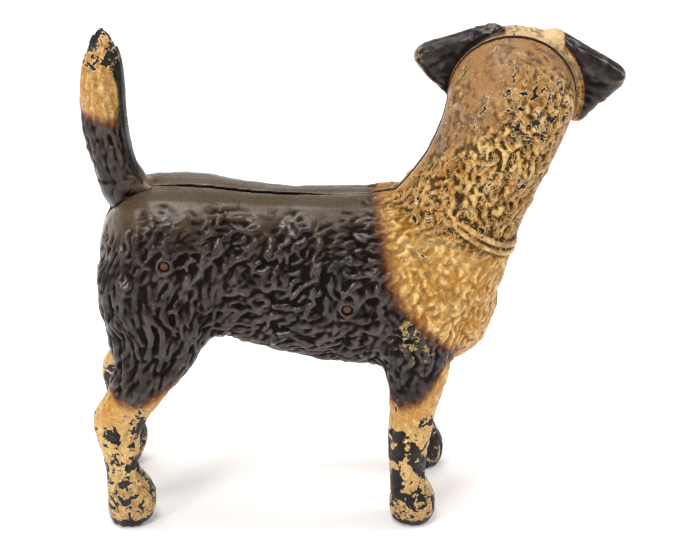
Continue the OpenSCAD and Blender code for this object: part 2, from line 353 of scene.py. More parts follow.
def make_locks(q, n, outside):
    """Scatters the locks over the skin: place, way, side, half length, half width, share and curl."""
    kinds = coat_kinds(q, n)
    rows = []
    for kind, lock in LOCKS.items():
        picked = scatter(q, kinds[kind] * outside, lock["apart"])
        if len(picked) == 0:
            continue
        place, up = q[picked], n[picked]
        way = lie_at(place)
        side = np.cross(up, way)
        side /= np.linalg.norm(side, axis=1)[:, None] + 1e-9
        way = np.cross(side, up)
        swirl = lock["stray"] * (1.3 * wavy(place, 16.0, 3) + RNG.normal(0, 0.45, len(picked)))
        way = way * np.cos(swirl)[:, None] + side * np.sin(swirl)[:, None]
        side = np.cross(up, way)
        grow = RNG.uniform(0.75, 1.25, len(picked))
        share = RNG.uniform(0.3, 1.0, len(picked))
        curl = RNG.normal(0, 1, len(picked)) * lock["curl"]
        rows.append(np.column_stack([place, way, side, lock["half_l"] * grow, lock["half_w"] * grow,
                                     share, curl]))
    return np.concatenate(rows)


# How many of the nearest locks are looked at for each point.
LOCKS_NEAR = 12


def lock_heights(q, locks):
    """Share of full height at each point: the highest of the curved ridges that cross it."""
    tree = kdtree.KDTree(len(locks))
    for i, row in enumerate(locks):
        tree.insert(row[:3], i)
    tree.balance()
    near = np.array([[hit[1] for hit in tree.find_n(p, LOCKS_NEAR)] for p in q])
    best = np.zeros(len(q))
    for k in range(LOCKS_NEAR):
        row = locks[near[:, k]]
        gap = q - row[:, :3]
        s = (gap * row[:, 3:6]).sum(axis=1)
        c = (gap * row[:, 6:9]).sum(axis=1) - row[:, 12] * s ** 2
        along = s / row[:, 9]
        across = np.clip(1 - (c / (row[:, 10] * (1.15 - 0.35 * along))) ** 2, 0, 1)
        ends = ramp(along, -1.0, -0.1) * ramp(along, 1.05, 0.7)
        best = np.maximum(best, row[:, 11] * across * ends)
    return best


# ---------------------------------------------------------------- sculpting one casting

# How many vertices the paint runs over the lips of the slot and notch, and of the screw holes.
LIP_STEPS = 12
BORE_STEPS = 3
# Most that the coat is carved below the smooth form, and most that it stands above it.
CARVE_DEPTH = 3.0
CARVE_HEIGHT = 0.9


def skin_of(mesh, q, zone):
    """1 on the outside of the casting, 0 in its hollow, from what connects to the tip of a paw."""
    count = len(q)
    edges = read_edges(mesh)
    keep = ~(zone[edges[:, 0]] | zone[edges[:, 1]])
    open_edges = edges[keep]
    reached = np.zeros(count, bool)
    reached[np.argmin(q[:, 2])] = True
    reached[np.argmax(q[:, 2])] = True
    frontier = True
    while frontier:
        before = int(reached.sum())
        for _ in range(6):
            a, b = open_edges[:, 0], open_edges[:, 1]
            reached[b[reached[a]]] = True
            reached[a[reached[b]]] = True
        frontier = int(reached.sum()) > before
    return reached


def painted_lips(edges, outside, zone, steps):
    """The outside, with the paint run that many vertices further into the zone."""
    reached = outside.copy()
    for _ in range(steps):
        a, b = edges[:, 0], edges[:, 1]
        reached[b[reached[a] & zone[b]]] = True
        reached[a[reached[b] & zone[a]]] = True
    return reached


def slot_zone(q, side):
    """The open slot along the back, and the notch in the right casting that the tail sits in."""
    slot = (np.abs(q[:, 1]) < 2.4) & (q[:, 2] > 138) & (q[:, 0] > -92) & (q[:, 0] < 14)
    notch = (q[:, 0] < -72) & (q[:, 2] > 128) & (q[:, 1] > -11) & (side < 0)
    return slot | notch


def bore_zone(q):
    """The screw holes and a narrow ring around each."""
    bores = np.zeros(len(q), bool)
    for x, z in SCREW_AXES:
        bores |= np.hypot(q[:, 0] - x, q[:, 2] - z) < 3.6
    return bores


def seam_zone(q, side):
    """Everything that parts the outside from the hollow: mating faces, slot, notch and screw holes."""
    flat = (np.abs(q[:, 1]) < 1.0) & ~((side > 0) & (q[:, 0] < -76) & (q[:, 2] > 146))
    return flat | slot_zone(q, side) | bore_zone(q)


def sculpt(node, name):
    """The visible casting: the CAD casting with its joins rounded over and its coat sculpted."""
    side = -1 if node == "right_half" else 1
    bm = bmesh.new()
    bm.from_mesh(frame["nodes"][node].data)
    bmesh.ops.remove_doubles(bm, verts=bm.verts, dist=0.01 * MM)
    obj = mesh_object(name, bm)
    low, high = [(np.array(c) - ORIGIN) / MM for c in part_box(node)]
    remesh = obj.modifiers.new("remesh", "REMESH")
    remesh.mode = "VOXEL"
    remesh.voxel_size = VOXEL
    settle(obj)

    mesh = obj.data
    q = read_points(mesh)
    near = Neighbours(read_edges(mesh), len(q))
    zone = seam_zone(q, side)
    outside = skin_of(mesh, q, zone)
    painted = painted_lips(read_edges(mesh), outside, slot_zone(q, side), LIP_STEPS)
    painted = painted_lips(read_edges(mesh), painted, bore_zone(q), BORE_STEPS)
    loose = outside.astype(float)
    for x, z in SCREW_AXES:
        away = np.hypot(q[:, 0] - x, q[:, 2] - z)
        loose *= 0.25 + 0.75 * (ramp(away, 2.6, 4.0) if side < 0 else ramp(away, 5.8, 8.0))
    loose = near.smoothed(loose, 3) * loose

    # Round over the joins of legs, neck, ears and tail, then soften the facets.
    above, band = collar_place(q)
    n = read_normals(mesh)
    q_soft = near.smoothed(q, 70)
    fill = np.clip(((q_soft - q) * n).sum(axis=1) - 0.04, 0, 5) * loose * (1 - band)
    q = q + n * near.smoothed(fill, 3)[:, None]
    q = q + (near.smoothed(q, 6) - q) * loose[:, None]
    write_points(mesh, q)
    n = read_normals(mesh)

    # Carve the coat, its hollows below the smooth form.
    skin = np.flatnonzero(outside)
    kinds = coat_kinds(q, n)
    full = sum(kinds[kind] * LOCKS[kind]["height"] for kind in LOCKS)
    locks = make_locks(q, n, outside.astype(float))
    share = np.ones(len(q))
    share[skin] = lock_heights(q[skin], locks)
    lumps = np.zeros(len(q))
    lumps[skin] = 0.5 * wavy(q[skin], 9.0, 5) + 0.25 * wavy(q[skin], 4.0, 6) - 0.15
    bold = np.ones(len(q))
    bold[skin] = 0.95 + 0.6 * wavy(q[skin], 20.0, 8)
    relief = (share - 1.0 + np.minimum(lumps, 0.15)) * full * bold
    relief *= (1 - 0.9 * near_seam(q)) * (1 - 0.6 * film_share(q))
    relief = (relief + near.smoothed(relief, 1)) / 2 * (1 - band) + collar_lines(above) * band
    relief += features(q)
    q = q + n * (np.clip(relief, -CARVE_DEPTH, CARVE_HEIGHT) * loose)[:, None]

    q = np.clip(q, low, high)
    write_points(mesh, q)
    n = read_normals(mesh)
    fine = ((near.smoothed(q, 3) - q) * n).sum(axis=1)
    broad = ((near.smoothed(q, 24) - q) * n).sum(axis=1)
    store(mesh, "hollow", np.clip(near.smoothed(fine, 1) / 0.16, -1, 1))
    store(mesh, "valley", np.clip(near.smoothed(broad, 2) / 0.55, -1, 1))
    store(mesh, "skin", near.smoothed(painted.astype(float), 2))

    # Fewer triangles in the hollow, where nothing shows, and then no more than FACE_LIMIT in all.
    unseen = obj.vertex_groups.new(name="unseen")
    unseen.add(np.flatnonzero(near.smoothed(outside.astype(float), 4) < 0.01).tolist(), 1.0, "REPLACE")
    hidden = 1 - len(skin) / len(q)
    thin(obj, 1 - hidden * 0.9, "unseen")
    thin(obj, FACE_LIMIT / sum(len(p.vertices) - 2 for p in obj.data.polygons))
    obj.vertex_groups.clear()
    mesh = obj.data
    q = read_points(mesh)
    n = read_normals(mesh)
    paint_places(mesh, q, n)
    mesh.polygons.foreach_set("use_smooth", np.ones(len(mesh.polygons), bool))
    mesh.update()
    return obj


def thin(obj, share, group=""):
    if share >= 1:
        return
    fewer = obj.modifiers.new("fewer", "DECIMATE")
    fewer.ratio = share
    fewer.vertex_group = group
    settle(obj)


def near_seam(q):
    """1 along the seam, where the castings were fettled smooth."""
    tail = (q[:, 0] < -78) & (q[:, 2] > 150)
    return ramp(np.abs(q[:, 1]), 9.0, 2.5) * ramp(q[:, 2], 100, 125) * ~tail * (ear_reach(q) < 0.5)


def film_share(q):
    """The smooth brown film of paint: full on the back of the skull, and about half of it on the nape."""
    nape = ramp(np.abs(q[:, 1]), 21, 9) * ramp(q[:, 2] - q[:, 0], 128, 112)
    dome = np.maximum(ramp(q[:, 2], 190, 202), ramp(q[:, 2] - q[:, 0] * 0.9, 122, 136)) * (q[:, 1] < 0.4)
    film = np.maximum(0.55 * nape, dome)
    return film * ramp(q[:, 2], 120, 150) * (q[:, 0] > 10) * neck_share(q) * (ear_reach(q) < 0.5)


def collar_lines(above):
    """Two cords and a groove."""
    return 0.75 * bell(np.abs(above), 1.7, 0.8) - 0.55 * bell(above, 0.0, 0.8)


def store(mesh, name, values):
    layer = mesh.attributes.get(name) or mesh.attributes.new(name, "FLOAT", "POINT")
    layer.data.foreach_set("value", values.astype(np.float32))


EYES = [(62.5, 37.5, 192.5), (83.0, 37.5, 191.0)]


def features(q):
    """Eyes, mouth, nostrils and toes, as height above the skin in millimetres."""
    out = np.zeros(len(q))
    for x, y, z in EYES:
        away = np.sqrt((q[:, 0] - x) ** 2 + (q[:, 1] - y) ** 2 + (q[:, 2] - z) ** 2)
        out -= 1.6 * bell(away, 0.0, 5.2)
        out += 2.0 * np.sqrt(np.clip(1 - (away / 3.0) ** 2, 0, 1))
        out += 0.5 * bell(away, 4.0, 0.8)
    muzzle = ramp(q[:, 1], 40, 46) * (q[:, 2] > 160)
    mouth = 176.5 + 0.010 * (q[:, 0] - 73) ** 2 - ramp(q[:, 1], 62, 44) * 1.5
    out -= muzzle * 1.5 * bell(q[:, 2], mouth, 0.9)
    for x in (71.0, 75.4):
        away = np.sqrt((q[:, 0] - x) ** 2 + (q[:, 1] - 65.2) ** 2 + (q[:, 2] - 188.0) ** 2)
        out -= 1.2 * bell(away, 0.0, 1.3)
    for paw_x, paw_y in PAWS:
        forward = ramp(q[:, 0], paw_x + 2, paw_x + 6)
        at_paw = (np.abs(q[:, 1] - paw_y) < 14) & (np.abs(q[:, 0] - paw_x) < 20) & (q[:, 2] < 17)
        for split in (-4.6, 0.0, 4.6):
            out -= at_paw * forward * 0.7 * bell(q[:, 1], paw_y + split, 0.8) * ramp(q[:, 2], 17, 10)
    return out


# Middle of each paw.
PAWS = [(31.5, -25), (37.0, 25), (-91.5, -26), (-98.0, 26)]


def paint_places(mesh, q, n):
    """Stores where each coat of paint lies, for the materials."""
    neck = neck_share(q)
    ears = ear_reach(q)
    store(mesh, "black_mm", black_depth(q, n))
    store(mesh, "smooth_back", back_share(q, n))
    store(mesh, "foot", ramp(q[:, 2], 68, 36))
    store(mesh, "crown", crown_share(q))
    tail = (q[:, 0] < -76) * ramp(q[:, 2], 168, 176)
    store(mesh, "paw", np.maximum(ramp(q[:, 2], 26, 12), 0.6 * tail))
    store(mesh, "sole", ramp(q[:, 2], 8.5, 0.5))
    by_slot = ramp(np.abs(q[:, 1]), 3.4, 2.4) * (q[:, 2] > 136) * (q[:, 0] > -95) * (q[:, 0] < 16)
    store(mesh, "seam_edge", by_slot * bell(n[:, 2], 0.72, 0.2))
    # Where the walls inside the slot get painted shade.
    store(mesh, "slot_wall_shade", by_slot * ramp(n[:, 2], 0.6, 0.4))
    worn = ramp(np.hypot(q[:, 0] - 80, q[:, 2] - 189), 24, 9) * ramp(q[:, 1], -3, -9)
    store(mesh, "worn_head", worn)
    store(mesh, "taupe", film_share(q) * (1 - 0.8 * worn))
    store(mesh, "shoulder", ramp(np.hypot(q[:, 0] - 33, q[:, 2] - 93), 19, 8))
    store(mesh, "ear", ramp(ears, 0.0, 1.5))
    store(mesh, "neck", neck * (ears < 1) * (1 - 0.5 * np.maximum(face_share(q), crown_share(q))))
    store(mesh, "tail_tip", ramp(q[:, 2], 196, 214) * (q[:, 0] < -80))
    eyes = np.zeros(len(q))
    for x, y, z in EYES:
        away = np.sqrt((q[:, 0] - x) ** 2 + (q[:, 1] - y) ** 2 + (q[:, 2] - z) ** 2)
        eyes = np.maximum(eyes, ramp(away, 4.2, 3.2))
    nose = np.sqrt((q[:, 0] - 73) ** 2 + (q[:, 1] - 62) ** 2 + (q[:, 2] - 188.5) ** 2)
    store(mesh, "dark_spot", np.maximum(eyes, ramp(nose, 6.6, 5.4)))


# ---------------------------------------------------------------- screws

THREAD_PITCH = 25.4 / 24 * MM
THREAD_R = 2.4 * MM
HEAD_H = 3.0 * MM
DRIVER_W = 1.3 * MM
DRIVER_DEPTH = 1.6 * MM
TURN_STEPS = 18


def screw_blank(name, middle, low_y, high_y, head_r):
    """Head and core of a screw, spun from a half outline about its own axis."""
    seat = high_y - HEAD_H
    core_r = THREAD_R * 0.86
    profile = [(0.0, seat + HEAD_H), (head_r * 0.55, seat + HEAD_H * 0.97),
               (head_r * 0.82, seat + HEAD_H * 0.84), (head_r * 0.96, seat + HEAD_H * 0.62),
               (head_r, seat + HEAD_H * 0.4), (head_r, seat + HEAD_H * 0.06),
               (head_r * 0.97, seat), (core_r, seat), (core_r, low_y + 0.7 * MM),
               (THREAD_R * 0.62, low_y), (0.0, low_y)]
    bm = bmesh.new()
    points = [bm.verts.new((middle.x + r, y, middle.z)) for r, y in profile]
    line = [bm.edges.new(pair) for pair in zip(points, points[1:])]
    bmesh.ops.spin(bm, geom=points + line, cent=(middle.x, 0, middle.z), axis=(0, 1, 0),
                   angle=math.tau, steps=40, use_merge=True)
    bmesh.ops.remove_doubles(bm, verts=bm.verts, dist=0.01 * MM)
    bmesh.ops.recalc_face_normals(bm, faces=bm.faces)
    return mesh_object(name, bm)


def cut_driver_slot(obj, middle, high_y, head_r):
    """The straight slot across the head."""
    bm = bmesh.new()
    bmesh.ops.create_cube(bm, size=1.0, matrix=Matrix.Translation((middle.x, high_y, middle.z)) @
                          Matrix.Diagonal((head_r * 3, DRIVER_DEPTH * 2, DRIVER_W, 1)))
    cutter = mesh_object(obj.name + "_cutter", bm)
    cut = obj.modifiers.new("slot", "BOOLEAN")
    cut.object = cutter
    cut.solver = "EXACT"
    settle(obj)
    bpy.data.objects.remove(cutter)


def wind_thread(middle, start, end):
    """The ridge of the thread, swept along its helix."""
    root, half = THREAD_R * 0.8, THREAD_PITCH * 0.42
    section = ((root, -half), (THREAD_R, -half * 0.15), (THREAD_R, half * 0.15), (root, half))
    bm = bmesh.new()
    corners = [bm.verts.new((middle.x + r, start + y, middle.z)) for r, y in section]
    ring = [bm.edges.new((corners[i], corners[(i + 1) % 4])) for i in range(4)]
    face = bm.faces.new(corners)
    turns = int((end - start) / THREAD_PITCH)
    bmesh.ops.spin(bm, geom=corners + ring + [face], cent=(middle.x, 0, middle.z), axis=(0, -1, 0),
                   dvec=(0, THREAD_PITCH / TURN_STEPS, 0), angle=math.tau * turns,
                   steps=turns * TURN_STEPS)
    bmesh.ops.recalc_face_normals(bm, faces=bm.faces)
    return bm


def screw(node, name):
    """A slotted machine screw with a cut thread, head towards +Y."""
    low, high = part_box(node)
    middle = (low + high) / 2
    head_r = (high.x - low.x) / 2
    obj = screw_blank(name, middle, low.y, high.y, head_r)
    cut_driver_slot(obj, middle, high.y, head_r)

    thread = wind_thread(middle, low.y + 1.2 * MM, high.y - HEAD_H - 2.5 * MM)
    spare = bpy.data.meshes.new("thread")
    thread.to_mesh(spare)
    thread.free()
    own = bmesh.new()
    own.from_mesh(obj.data)
    own.from_mesh(spare)
    own.to_mesh(obj.data)
    own.free()
    bpy.data.meshes.remove(spare)
    for p in obj.data.polygons:
        p.use_smooth = False
    return obj


# ---------------------------------------------------------------- material parts

class Nodes:
    """Adds nodes to a tree and links them in one call."""

    def __init__(self, tree):
        self.tree = tree

    def add(self, kind, inputs=None, **settings):
        node = self.tree.nodes.new(kind)
        for key, value in settings.items():
            setattr(node, key, value)
        for key, value in (inputs or {}).items():
            self.put(node.inputs[key], value)
        return node

    def put(self, socket, value):
        if isinstance(value, bpy.types.NodeSocket):
            self.tree.links.new(value, socket)
        else:
            socket.default_value = value

    def math(self, operation, a, b=0.0, c=0.0):
        node = self.add("ShaderNodeMath", {0: a, 1: b, 2: c}, operation=operation)
        return node.outputs[0]

    def span(self, value, low, high, to_low=0.0, to_high=1.0):
        node = self.add("ShaderNodeMapRange", {"Value": value, "From Min": low, "From Max": high,
                                               "To Min": to_low, "To Max": to_high},
                        interpolation_type="SMOOTHSTEP")
        return node.outputs["Result"]

    def mix(self, share, a, b):
        node = self.add("ShaderNodeMix", data_type="RGBA")
        self.put(node.inputs[0], share)
        self.put(node.inputs[6], a)
        self.put(node.inputs[7], b)
        return node.outputs[2]

    def times(self, a, b):
        return self.math("MULTIPLY", a, b)

    def plus(self, a, b):
        return self.math("ADD", a, b)

    def attribute(self, name):
        return self.add("ShaderNodeAttribute", attribute_name=name, attribute_type="GEOMETRY").outputs["Fac"]

    def noise(self, size_mm, detail=3.0, rough=0.55, warp=0.0, vector=None):
        if vector is None:
            vector = self.add("ShaderNodeTexCoord").outputs["Object"]
        node = self.add("ShaderNodeTexNoise", {"Vector": vector, "Scale": 1 / (size_mm * MM),
                                               "Detail": detail, "Roughness": rough, "Distortion": warp})
        return node.outputs["Fac"]


def colour(r, g, b):
    """A linear colour from the 0-255 numbers of a paint chart."""
    def linear(v):
        v = v / 255
        return v / 12.92 if v <= 0.04045 else ((v + 0.055) / 1.055) ** 2.4
    return (linear(r), linear(g), linear(b), 1.0)


def group_tree(name, inputs, outputs):
    tree = bpy.data.node_groups.new(name, "ShaderNodeTree")
    for label, kind, value in inputs:
        socket = tree.interface.new_socket(label, in_out="INPUT", socket_type=kind)
        if value is not None:
            socket.default_value = value
    for label, kind in outputs:
        tree.interface.new_socket(label, in_out="OUTPUT", socket_type=kind)
    return tree, tree.nodes.new("NodeGroupInput"), tree.nodes.new("NodeGroupOutput")


def chips_group():
    """Flaked spots with a sharp edge: where they are, and the rim of old paint around them."""
    tree, given, out = group_tree(
        "flaked spots",
        [("Vector", "NodeSocketVector", None), ("Size", "NodeSocketFloat", 200.0),
         ("Amount", "NodeSocketFloat", 0.3)],
        [("Spots", "NodeSocketFloat"), ("Rim", "NodeSocketFloat")])
    t = Nodes(tree)
    field = t.add("ShaderNodeTexNoise", {"Vector": given.outputs["Vector"], "Scale": given.outputs["Size"],
                                         "Detail": 5.0, "Roughness": 0.6, "Distortion": 0.6}).outputs["Fac"]
    edge = t.math("SUBTRACT", 0.82, t.math("MULTIPLY", given.outputs["Amount"], 0.42))
    over = t.math("SUBTRACT", field, edge)
    t.put(out.inputs["Spots"], t.span(over, 0.0, 0.012))
    t.put(out.inputs["Rim"], t.span(over, -0.035, -0.004))
    return tree


def rust_group():
    """Mottled iron oxide: a colour and how much of it there is."""
    tree, given, out = group_tree(
        "rust bloom",
        [("Vector", "NodeSocketVector", None), ("Amount", "NodeSocketFloat", 0.4)],
        [("Colour", "NodeSocketColor"), ("Mask", "NodeSocketFloat")])
    t = Nodes(tree)
    field = t.noise(2.2, 6.0, 0.65, 0.4, given.outputs["Vector"])
    grain = t.noise(0.5, 4.0, 0.6, 0.0, given.outputs["Vector"])
    tone = t.mix(grain, colour(46, 28, 18), colour(108, 64, 36))
    t.put(out.inputs["Colour"], tone)
    edge = t.math("SUBTRACT", 0.8, t.math("MULTIPLY", given.outputs["Amount"], 0.6))
    t.put(out.inputs["Mask"], t.span(t.math("SUBTRACT", field, edge), -0.05, 0.08))
    return tree


def grain_group():
    """Cast grain and pits under the paint, as a height in millimetres."""
    tree, given, out = group_tree(
        "cast grain",
        [("Vector", "NodeSocketVector", None), ("Coarse", "NodeSocketFloat", 0.05),
         ("Fine", "NodeSocketFloat", 0.02), ("Pits", "NodeSocketFloat", 0.05)],
        [("Height", "NodeSocketFloat")])
    t = Nodes(tree)
    vector = given.outputs["Vector"]
    coarse = t.math("MULTIPLY", t.noise(2.4, 4.0, 0.55, 0.3, vector), given.outputs["Coarse"])
    fine = t.math("MULTIPLY", t.noise(0.55, 3.0, 0.6, 0.0, vector), given.outputs["Fine"])
    pit_field = t.noise(1.3, 2.0, 0.5, 0.0, vector)
    pits = t.math("MULTIPLY", t.span(pit_field, 0.66, 0.74), given.outputs["Pits"])
    t.put(out.inputs["Height"], t.math("SUBTRACT", t.math("ADD", coarse, fine), pits))
    return tree


def place_group(t, tree, inputs):
    node = t.add("ShaderNodeGroup", node_tree=tree)
    for key, value in inputs.items():
        t.put(node.inputs[key], value)
    return node.outputs


def new_material(name):
    material = bpy.data.materials.new(name)
    material.use_nodes = True
    tree = material.node_tree
    shader = tree.nodes["Principled BSDF"]
    return material, Nodes(tree), shader


BLACK = colour(26, 15, 9)
BLACK_GREY = colour(44, 31, 22)
UMBER = colour(66, 34, 20)
SIENNA = colour(144, 92, 50)
OCHRE = colour(176, 122, 46)
CREAM = colour(240, 204, 132)
TAUPE = colour(154, 114, 76)
GRIME = colour(50, 31, 12)
IRON = colour(34, 28, 25)
TAN = colour(142, 94, 34)
LEG_CREAM = colour(222, 184, 118)
SPECKLE = colour(98, 62, 30)
SLATE = colour(136, 120, 92)
SMOKE = colour(92, 68, 52)
PAW_BROWN = colour(160, 118, 70)
PALE_CREAM = colour(236, 206, 158)
BACK_DUST_AND_SHEEN = colour(110, 90, 66)
HOLLOW_SHADE_BLACK = colour(8, 5, 4)
RUBBED_AND_HIGHLIGHT_BROWN = colour(122, 98, 78)
WORN_EDGE = colour(150, 116, 72)
SLOT_SHADE_BLACK = colour(14, 10, 8)
EYE_BLACK = colour(22, 18, 17)
INNER_IRON = (colour(30, 24, 21), colour(66, 42, 28))


class Places:
    """The maps over a casting that its coats of paint share."""

    def __init__(self, t):
        self.where = t.add("ShaderNodeTexCoord").outputs["Object"]
        self.hollow = t.attribute("hollow")
        self.valley = t.attribute("valley")
        self.neck = t.attribute("neck")
        self.foot = t.attribute("foot")
        self.taupe = t.attribute("taupe")
        self.paw = t.attribute("paw")
        self.shoulder = t.attribute("shoulder")
        self.smooth_back = t.attribute("smooth_back")
        self.patch = t.noise(14.0, 4.0, 0.6, 0.5, self.where)
        self.mottle = t.noise(3.0, 5.0, 0.65, 0.6, self.where)
        self.speck = t.noise(0.9, 4.0, 0.7, 0.0, self.where)
        self.crest = t.span(self.hollow, -0.15, -0.8)
        self.deep = t.plus(t.times(self.hollow, 0.7), t.times(self.valley, 0.6))
        # 1 where the brown film doesn't cover the cream.
        self.clear = t.math("SUBTRACT", 1.0, t.times(self.taupe, 0.85))
        black_mm = t.attribute("black_mm")
        self.ragged = t.plus(black_mm, t.times(t.math("SUBTRACT", self.mottle, 0.5), 9.0))
        self.in_black = t.span(self.ragged, -0.5, 2.0)
        self.on_cream = t.math("SUBTRACT", 1.0, self.in_black)


def cream_enamel(t, m):
    """Cream and ochre, with painted highlights on the crests, browner on the neck, palest on the legs and
    crown.
    """
    pale = t.span(t.plus(m.mottle, t.times(m.patch, 0.7)), 0.72, 1.05)
    cream = t.mix(t.times(pale, 0.6), OCHRE, CREAM)
    cream = t.mix(t.times(m.foot, 0.6), cream, LEG_CREAM)
    tan = t.times(m.neck, t.span(t.plus(m.patch, t.times(m.mottle, 0.5)), 0.9, 0.62))
    cream = t.mix(t.times(t.times(tan, m.clear), 0.85), cream, TAN)
    cream = t.mix(t.times(m.paw, 0.5), cream, PAW_BROWN)
    # Painted highlight: the crests are painted paler, towards cream, less so on the neck.
    crest_highlight = t.times(m.crest, t.span(m.mottle, 0.36, 0.6, 0.15, 0.8))
    cream = t.mix(t.times(crest_highlight, t.span(m.neck, 0.0, 1.0, 1.0, 0.45)), cream, CREAM)
    cream = t.mix(t.times(t.attribute("crown"), 0.75), cream, PALE_CREAM)
    film = t.times(m.taupe, t.span(m.mottle, 0.3, 0.5, 0.55, 1.0))
    cream = t.mix(t.times(film, 0.88), cream, TAUPE)
    smoky = t.span(t.plus(m.mottle, t.times(m.patch, 0.5)), 0.7, 0.86)
    cream = t.mix(t.times(t.times(m.taupe, smoky), 0.7), cream, SMOKE)
    specks = t.times(t.span(m.speck, 0.48, 0.66), t.span(m.paw, 0, 1, 0.42, 0.85))
    cream = t.mix(specks, cream, SPECKLE)
    stain = t.span(t.noise(4.5, 5.0, 0.6, 0.8, m.where), 0.54, 0.66)
    return t.mix(t.times(t.times(stain, t.span(m.hollow, -0.4, 0.3)), 0.55), cream, SLATE)


def grimy(t, m, cream):
    """Grime in the hollows, thickest on the neck, and flaking there: the colour and the dirt's share."""
    dirty = t.plus(m.deep, t.times(t.math("SUBTRACT", m.patch, 0.44), 2.4))
    dirty = t.plus(dirty, t.times(t.math("SUBTRACT", m.mottle, 0.5), 1.2))
    dirt = t.times(t.span(dirty, -0.15, 0.7), t.span(m.neck, 0.0, 1.0, 0.4, 0.9))
    dirt = t.times(dirt, t.span(m.clear, 0.0, 1.0, 0.5, 1.0))
    cream = t.mix(dirt, cream, GRIME)
    flakes = place_group(t, GROUPS["chips"], {"Vector": m.where, "Size": 190.0, "Amount": 0.7})
    flaky = t.times(m.neck, m.clear)
    cream = t.mix(t.times(t.times(flakes["Spots"], flaky), 0.4), cream, GRIME)
    lifted = t.math("SUBTRACT", flakes["Rim"], flakes["Spots"])
    return t.mix(t.times(t.times(lifted, flaky), 0.6), cream, CREAM), dirt


def black_enamel(t, m):
    """Black, with dust and painted sheen on the back, painted shade darkening the hollows, and brown along
    the crests that is partly rubbed wear and partly painted highlight.
    """
    black = t.mix(t.span(m.patch, 0.4, 0.75), BLACK, BLACK_GREY)
    # Dust and a painted sheen: paler brown on the smooth band along the top of the back.
    dust_and_sheen = t.times(m.smooth_back, t.span(m.speck, 0.3, 0.7, 0.4, 0.85))
    black = t.mix(t.times(dust_and_sheen, 0.75), black, BACK_DUST_AND_SHEEN)
    # Painted shade: the black is darkened towards near black in the hollows and valleys.
    black = t.mix(t.times(t.span(m.deep, 0.0, 0.6), 0.85), black, HOLLOW_SHADE_BLACK)
    # Brown along the crests: partly rubbed wear, partly a painted highlight.
    crest_highlight = t.times(m.crest, t.span(m.mottle, 0.4, 0.66, 0.1, 1.0))
    return t.mix(t.times(crest_highlight, 0.3), black, RUBBED_AND_HIGHLIGHT_BROWN)


def sprayed(t, m, cream, black):
    """The airbrushed edge of the saddle: black, umber, sienna, then cream."""
    paint = t.mix(t.times(t.span(m.ragged, -5.5, -0.8), 0.9), cream, SIENNA)
    paint = t.mix(t.span(m.ragged, -4.0, 1.0), paint, UMBER)
    paint = t.mix(t.span(m.ragged, -0.5, 3.0), paint, black)
    edge_worn = t.times(t.attribute("seam_edge"), t.span(m.mottle, 0.35, 0.6))
    paint = t.mix(t.times(edge_worn, 0.6), paint, WORN_EDGE)
    # Painted shade: the walls inside the slot along the back are painted near black.
    paint = t.mix(t.attribute("slot_wall_shade"), paint, SLOT_SHADE_BLACK)
    return t.mix(t.attribute("dark_spot"), paint, EYE_BLACK)


def chipped_to_iron(t, m, paint):
    """Chips in the cream down to black iron, with pale rims: the colour and where the iron is bare."""
    cluster = t.span(t.noise(11.0, 2.0, 0.5, 0.3, m.where), 0.42, 0.62)
    amount = t.plus(t.plus(t.times(m.foot, 0.5), t.times(m.neck, 0.1)), 0.13)
    amount = t.plus(amount, t.times(t.attribute("tail_tip"), 0.6))
    amount = t.plus(amount, t.times(cluster, 0.3))
    on_head = t.times(t.attribute("worn_head"), 0.66)
    large, small, head = [
        place_group(t, GROUPS["chips"], {"Vector": m.where, "Size": size, "Amount": share})
        for size, share in ((150.0, amount), (420.0, t.math("SUBTRACT", amount, 0.06)), (230.0, on_head))]
    spots = t.math("MAXIMUM", t.math("MAXIMUM", large["Spots"], small["Spots"]), head["Spots"])
    rim = t.math("MAXIMUM", t.math("MAXIMUM", large["Rim"], small["Rim"]), head["Rim"])
    paint = t.mix(t.times(t.times(rim, m.on_cream), 0.65), paint, PALE_CREAM)
    bare = t.times(spots, m.on_cream)
    return t.mix(bare, paint, IRON), bare


def worn_to_undercoat(t, m, paint):
    """Cream undercoat through the black, on the shoulder and the rims of the ears."""
    worn = place_group(t, GROUPS["chips"], {"Vector": m.where, "Size": 330.0,
                                            "Amount": t.times(m.shoulder, 0.56)})
    outlines = t.math("SUBTRACT", worn["Rim"], t.times(worn["Spots"], 0.7))
    ear_rim = t.times(t.attribute("ear"), t.span(m.valley, -0.8, -1.0, 0.0, 0.5))
    through = t.plus(t.times(outlines, m.shoulder), t.times(ear_rim, t.span(m.speck, 0.4, 0.6)))
    undercoat = t.times(t.times(through, m.in_black), 0.8)
    return t.mix(undercoat, paint, CREAM), undercoat


def soles_and_rust(t, m, paint):
    """Soles worn down to iron, and a little rust all over."""
    sole = t.plus(t.attribute("sole"), t.times(t.math("SUBTRACT", m.mottle, 0.5), 1.4))
    paint = t.mix(t.span(sole, 0.4, 0.6), paint, IRON)
    rust = place_group(t, GROUPS["rust"], {"Vector": m.where, "Amount": 0.12})
    return t.mix(t.times(rust["Mask"], 0.5), paint, rust["Colour"])


def casting_height(t, m, chips):
    """Cast grain, brush streaks on the back and the depth of the chips, in millimetres."""
    grain = place_group(t, GROUPS["grain"], {"Vector": m.where, "Coarse": 0.2, "Fine": 0.06, "Pits": 0.12})
    along_brush = t.add("ShaderNodeMapping", {"Vector": m.where, "Rotation": (0.0, math.radians(38), 0.0),
                                              "Scale": (1.0, 0.35, 0.2)}).outputs["Vector"]
    streak = t.noise(1.3, 2.0, 0.5, 0.2, along_brush)
    height = t.plus(grain["Height"], t.times(t.times(streak, m.smooth_back), 0.8))
    return t.math("SUBTRACT", height, t.times(chips, 0.12))


